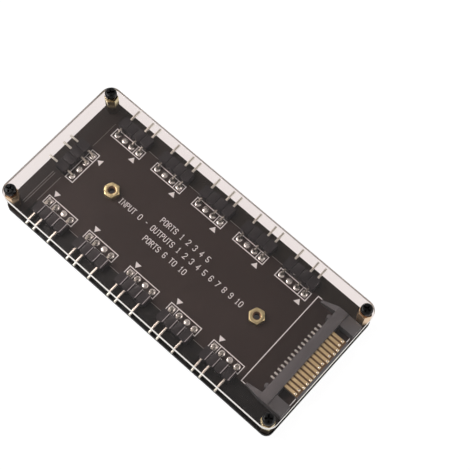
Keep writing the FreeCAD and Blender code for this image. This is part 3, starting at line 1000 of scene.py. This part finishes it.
class HUB_OT_plug(bpy.types.Operator):
    """Power plug housing and contacts"""
    bl_idname = "hub.plug"
    bl_label = "Power plug"

    def execute(self, context):
        looks = context.scene.hub_looks
        edges = context.scene.hub_edges
        low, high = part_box("sata_contacts")
        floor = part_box("sata_housing")[0].z
        # Painted shade and gold reflection: the plastic between the contacts is coloured dark
        # brown.
        gap_shade = ((low.x + GAP_SHADE_START, low.y - GAP_SHADE_EDGE, floor), (high.x, high.y + GAP_SHADE_EDGE, high.z),
               looks.gap_shade)
        mesh = cad_copy("sata_housing", "housing")
        for vertex in mesh.vertices:
            if abs(vertex.co.x - low.x - TAIL_LONG) < 0.1 * MM:
                vertex.co.x += edges.bar
        housing = softened("plug_housing", mesh, edges.plug)
        plastic = moulded("plug_plastic", looks.plug, 0.08, 0.42, 0.5, gap_shade)
        shown(housing, plastic, "grey_plastic", "sata_housing")
        centres, step = contact_rows()
        mesh = cad_copy("sata_contacts", "contacts")
        ends = [max(vertex.co.x for vertex in mesh.vertices
                    if abs(vertex.co.y - centre) < CONTACT_WIDE) for centre in centres]
        mesh = self.draw_in(mesh, low.x + TAIL_START, low.x + TAIL_LONG, centres)
        contacts = softened("plug_contacts", mesh, edges.contact, 3)
        shown(contacts, contact_flash(looks, low, step), "contact_gold", "sata_contacts")
        tin = plated("tinned_tails", looks.solder, 0.3, 0.25, 0.003)
        second_coat(contacts, tin, lambda face: face.center.x < low.x + TAIL_LONG + TIN_END)
        # The nose domes reflect for real; their pale, near-white gold is also a painted highlight.
        bright = plated("bright_noses", looks.nose, 0.22, 0.2, 0.002)
        spots = [((end - edges.nose * 1.2, centre, high.z), (0.0, 0.0, 0.0))
                 for end, centre in zip(ends, centres)]
        nose = smooth(drawn("nose", lambda form: lathe(form, self.nose(edges.nose), 16)), 50.0)
        stamped("contact_noses", nose, spots, bright, "contact_gold")
        return {"FINISHED"}

    def nose(self, radius):
        """Shallow dome coined into a contact's end."""
        rise = radius * 0.4
        sunk = -0.02 * MM
        curve = [(radius * math.cos(turn), rise * math.sin(turn)) for turn in quarter(4)[:-1]]
        return [(0.0, sunk), (radius, sunk)] + curve + [(0.0, rise)]

    def draw_in(self, mesh, start, back, centres):
        """Cuts the contacts off inside the bar and lays narrow flat tails out from under it."""
        half = TAIL_WIDE / 2

        def build(form):
            form.from_mesh(mesh)
            bmesh.ops.bisect_plane(
                form, geom=form.verts[:] + form.edges[:] + form.faces[:], clear_inner=True,
                plane_co=(back + BLADE_HIDDEN, 0.0, 0.0), plane_no=(1.0, 0.0, 0.0))
            bmesh.ops.holes_fill(form, edges=form.edges[:])
            for centre in centres:
                slab(form, (start, centre - half), (back + TAIL_HIDDEN, centre + half),
                     BOARD_HIGH.z, BOARD_HIGH.z + TAIL_HIGH)
        return drawn("contacts", build)


def pad_profile(solder):
    return [(0.0, 0.0), (solder.pad, 0.0), (solder.pad, solder.foil)]


def joint_profile(solder, rise):
    """Pad and the hollow fillet of solder that climbs the pin."""
    steps = 6
    foot = solder.pad * WETTED
    neck = PIN_SIDE * 0.56
    curve = []
    for part in range(steps + 1):
        share = part / steps
        curve.append((neck + (foot - neck) * (1 - share) ** 2.2, solder.foil + rise * share))
    return pad_profile(solder) + curve + [(0.0, solder.foil + rise)]


def dome_profile(solder):
    """Pad and the flat dome of a way without a pin."""
    foot = solder.pad * WETTED
    curve = [(foot * math.cos(turn), solder.foil + solder.dome * math.sin(turn))
             for turn in quarter(5)[:-1]]
    return pad_profile(solder) + curve + [(0.0, solder.foil + solder.dome)]


class HUB_OT_solder(bpy.types.Operator):
    """Pads and solder on both faces of the board"""
    bl_idname = "hub.solder"
    bl_label = "Solder"

    def execute(self, context):
        solder = context.scene.hub_solder
        looks = context.scene.hub_looks
        tin = plated("bright_solder", looks.solder, 0.2, 0.25, 0.004, metal=0.85)
        for name, rise, height, flip in (
                ("pad_solder", solder.rise, BOARD_HIGH.z, 0.0),
                ("tail_solder", solder.tail_rise, BOARD_LOW.z, math.pi)):
            spots = [(place, (flip, 0.0, angles[2])) for place, angles in port_spots(height)]
            mesh = smooth(drawn(name, lambda form: self.port(form, solder, rise)), 35.0)
            stamped(name, mesh, spots, tin, "pin_gold")
        self.feet(solder, tin)
        return {"FINISHED"}

    def port(self, form, solder, rise):
        """Square first pad, three joints and the filled empty way of one port."""
        side = solder.pad * 0.97
        slab(form, (way(1) - side, -side), (way(1) + side, side), 0.0, solder.foil * 0.9)
        for number in PIN_WAYS:
            lathe(form, joint_profile(solder, rise), 24, (way(number), 0.0))
        lathe(form, dome_profile(solder), 24, (way(EMPTY_WAY), 0.0))

    def feet(self, solder, tin):
        """Tinned pad under each tail of the plug."""
        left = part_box("sata_contacts")[0].x
        half = TAIL_WIDE * 0.6
        near = (FOOT_TOE, -half)
        far = (FOOT_HEEL, half)
        mesh = drawn("foot", lambda form: slab(form, near, far, 0.0, solder.foil))
        spots = [((left, row, BOARD_HIGH.z), (0.0, 0.0, 0.0)) for row in contact_rows()[0]]
        stamped("foot_solder", smooth(mesh, 35.0), spots, tin, "pin_gold")


# Strokes of each letter, parted by a slash, as column and row on a grid of 4 by 6
GLYPHS = {
    "0": "10 30 41 45 36 16 05 01 10", "1": "15 26 20/10 30", "2": "05 16 36 45 44 00 40",
    "3": "05 16 36 45 44 33 42 41 30 10 01", "4": "30 36 02 42",
    "5": "46 06 03 33 42 41 30 10 01", "6": "45 36 16 05 01 10 30 41 42 33 03",
    "7": "06 46 10", "8": "13 04 05 16 36 45 44 33 13 02 01 10 30 41 42 33",
    "9": "43 13 04 05 16 36 45 41 30 10 01", "P": "00 06 36 45 44 33 03",
    "O": "10 30 41 45 36 16 05 01 10", "R": "00 06 36 45 44 33 03/23 40", "T": "06 46/26 20",
    "S": "45 36 16 05 04 13 33 42 41 30 10 01", "I": "20 26/10 30/16 36", "N": "00 06 40 46",
    "U": "06 01 10 30 41 46", "-": "13 33",
}


def write(form, text, start, marks):
    """Draws a line of stroke letters from its lower left corner."""
    for number, letter in enumerate(text):
        if letter == " ":
            continue
        left = start[0] + number * marks.advance
        for stroke in GLYPHS[letter].split("/"):
            points = [(left + int(across) / 4 * marks.letter_wide,
                       start[1] + int(up) / 6 * marks.letter) for across, up in stroke.split()]
            closed = points[0] == points[-1]
            ribbon(form, points[:-1] if closed else points, marks.stroke, marks.ink, closed)


class HUB_OT_print(bpy.types.Operator):
    """White printing and the copper edges under the mask"""
    bl_idname = "hub.print"
    bl_label = "Printing"

    def execute(self, context):
        marks = context.scene.hub_print
        looks = context.scene.hub_looks
        ink = white_ink(looks)
        mesh = drawn("port_marks", lambda form: self.port(form, marks))
        stamped("port_marks", mesh, port_spots(BOARD_HIGH.z), ink, "board_mask")
        for name, build in (("plug_marks", self.plug), ("legend", self.legend)):
            self.laid(name, lambda form: build(form, marks), ink)
        edge = moulded("copper_edge", looks.pour_edge, 0.1, 0.35)
        self.laid("copper_edges", lambda form: self.copper(form, marks, looks), edge)
        return {"FINISHED"}

    def laid(self, name, build, material):
        """Shows a piece that is drawn flat and laid on the board."""
        mesh = drawn(name, build)
        mesh.transform(Matrix.Translation((0.0, 0.0, BOARD_HIGH.z)))
        shown(linked(name, mesh), material, "board_mask")

    def port(self, form, marks):
        """Box round the four ways, and the arrow at the first."""
        end = 2 * PIN_SPACING
        half = PIN_SPACING / 2
        line = marks.line
        ink = marks.ink
        first = way(1)
        ribbon(form, [(-end, -half), (end, -half), (end, half), (-end, half)], line, ink, True)
        ribbon(form, [(PIN_SPACING, -half + line), (PIN_SPACING, half - line)], line, ink)
        prism(form, [(first + marks.arrow_half, -marks.arrow_far), (first, -marks.arrow_near),
                     (first - marks.arrow_half, -marks.arrow_far)], 0.0, ink)

    def plug(self, form, marks):
        """Bracket behind the plug and the line before its mouth."""
        low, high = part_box("sata_housing")
        left = low.x - 1.4 * MM
        right = low.x - 0.25 * MM
        near = low.y + 1.0 * MM
        far = high.y - 0.5 * MM
        bracket = [(right, far), (left, far), (left, near), (right, near)]
        ribbon(form, bracket, marks.line, marks.ink)
        front = high.x - 0.85 * MM
        reach = 12.2 * MM
        ribbon(form, [(front, -reach), (front, reach)], marks.line, marks.ink)

    def legend(self, form, marks):
        for line, corner in LEGEND_CORNERS.items():
            write(form, getattr(marks, line), corner, marks)

    def copper(self, form, marks, looks):
        """Edges of the pour that show between the shells and along the left end."""
        thin = marks.line * 0.36
        low = marks.ink * 0.6
        spots = [place for place, angles in port_spots(0.0)]
        gap = 2 * PIN_SPACING + 0.3 * MM
        for row, y in ((spots[0:5], looks.pour_half), (spots[5:10], -looks.pour_half)):
            for first, second in zip(row, row[1:]):
                ribbon(form, [(first[0] + gap, y), (second[0] - gap, y)], thin, low)
        left = -looks.pour_left
        ribbon(form, [(left, -POUR_CORNER), (left, -INLET_HALF)], thin, low)
        for x in TRACES:
            ribbon(form, [(x, -TRACE_END), (x, -INLET_HALF)], thin, low)
        ribbon(form, [(left, INLET_HALF), (left, POUR_CORNER)], thin * 0.7, low)


def lamp(name, place, size, strength):
    """Round lamp that looks at the hub."""
    light = bpy.data.lights.new(name, "AREA")
    light.shape = "DISK"
    light.size = size
    light.energy = strength
    piece = bpy.data.objects.new(name, light)
    piece.location = place
    piece.rotation_euler = (-Vector(place)).to_track_quat("-Z", "Y").to_euler()
    bpy.context.scene.collection.objects.link(piece)


class HUB_OT_stage(bpy.types.Operator):
    """Floor, light and camera"""
    bl_idname = "hub.stage"
    bl_label = "Stage"

    def execute(self, context):
        stage = context.scene.hub_stage
        self.floor(stage, context.scene.hub_looks)
        self.sky(context.scene, stage)
        lamp("key", *KEY_LAMP, stage.key)
        lamp("fill", *FILL_LAMP, stage.fill)
        self.camera(context.scene, stage)
        context.scene.view_settings.view_transform = "Standard"
        return {"FINISHED"}

    def floor(self, stage, looks):
        """Floor that looks white to the camera, with painted shade under the board and a painted
        shadow tint where it is seen through the plate.
        """
        half = FLOOR_HALF
        mesh = bpy.data.meshes.new("floor")
        corners = [(-half, -half, 0), (half, -half, 0), (half, half, 0), (-half, half, 0)]
        mesh.from_pydata(corners, [], [(0, 1, 2, 3)])
        floor = linked("floor", mesh)
        finish = Finish("floor")
        matt = finish.principled({
            "Base Color": rgba(looks.floor), "Roughness": 0.9, "Specular IOR Level": 0.0})
        path = finish.add("ShaderNodeLightPath", output="Is Camera Ray")
        behind = path.output("Is Transmission Ray")
        seen = path.most(path.output("Is Glossy Ray")).most(behind)
        parts = finish.split(finish.place)
        across = abs(parts.output("Y") - (BOARD_LOW.y + BOARD_HIGH.y) / 2)
        reach = (BOARD_HIGH.y - BOARD_LOW.y) / 2
        clear = abs(parts.output("X")).past(BOARD_HIGH.x - SHADE_INSET, SHADE_SOFT).most(
            across.past(reach - SHADE_INSET, SHADE_SOFT))
        # Painted shadow: where the floor is seen through the plate its glow takes the behind tint.
        glow = finish.add("ShaderNodeEmission", {
            "Color": finish.blend(behind, (1.0, 1.0, 1.0, 1.0), rgba(stage.behind)),
            "Strength": seen * (SHADE_LEFT + (1.0 - SHADE_LEFT) * clear) * stage.glow})
        mesh.materials.append(finish.done(finish.add("ShaderNodeAddShader", {0: matt, 1: glow})))

    def sky(self, scene, stage):
        scene.world = bpy.data.worlds.new("sky")
        scene.world.use_nodes = True
        graph = Graph(scene.world.node_tree)
        graph.tree.nodes.clear()
        way_up = graph.add("ShaderNodeTexCoord", output="Generated")
        lift = graph.split(way_up).output("Z")
        strength = stage.rim + lift.past(0.5, 0.5) * (stage.sky - stage.rim)
        light = graph.add("ShaderNodeBackground", {"Color": (1, 1, 1, 1), "Strength": strength})
        graph.add("ShaderNodeOutputWorld", {"Surface": light})

    def camera(self, scene, stage):
        camera = bpy.data.cameras.new("camera")
        camera.sensor_width = SENSOR_WIDE
        camera.lens = stage.lens
        camera.clip_start = 0.01
        piece = bpy.data.objects.new("camera", camera)
        piece.location = stage.eye
        piece.rotation_euler = Euler(stage.aim)
        scene.collection.objects.link(piece)
        scene.camera = piece


OPERATORS = (HUB_OT_sheets, HUB_OT_fasteners, HUB_OT_ports, HUB_OT_plug, HUB_OT_solder,
             HUB_OT_print, HUB_OT_stage)


class HUB_PT_panel(bpy.types.Panel):
    """Lists the hub's pieces and settings"""
    bl_idname = "HUB_PT_panel"
    bl_label = "Lighting hub"
    bl_space_type = "VIEW_3D"
    bl_region_type = "UI"
    bl_category = "Hub"

    def draw(self, context):
        for operator in OPERATORS:
            self.layout.operator(operator.bl_idname)
        for name, group in GROUPS.items():
            box = self.layout.box()
            settings = getattr(context.scene, name)
            for key in group.__annotations__:
                box.prop(settings, key)


def register():
    for name, group in GROUPS.items():
        bpy.utils.register_class(group)
        setattr(bpy.types.Scene, name, PointerProperty(type=group))
    for item in OPERATORS + (HUB_PT_panel,):
        bpy.utils.register_class(item)


def unregister():
    for item in reversed(OPERATORS + (HUB_PT_panel,)):
        bpy.utils.unregister_class(item)
    for name, group in GROUPS.items():
        delattr(bpy.types.Scene, name)
        bpy.utils.unregister_class(group)


def main():
    register()
    bpy.ops.hub.sheets()
    bpy.ops.hub.fasteners()
    bpy.ops.hub.ports()
    bpy.ops.hub.plug()
    bpy.ops.hub.solder()
    bpy.ops.hub.print()
    bpy.ops.hub.stage()


if __name__ == "__main__":
    main()
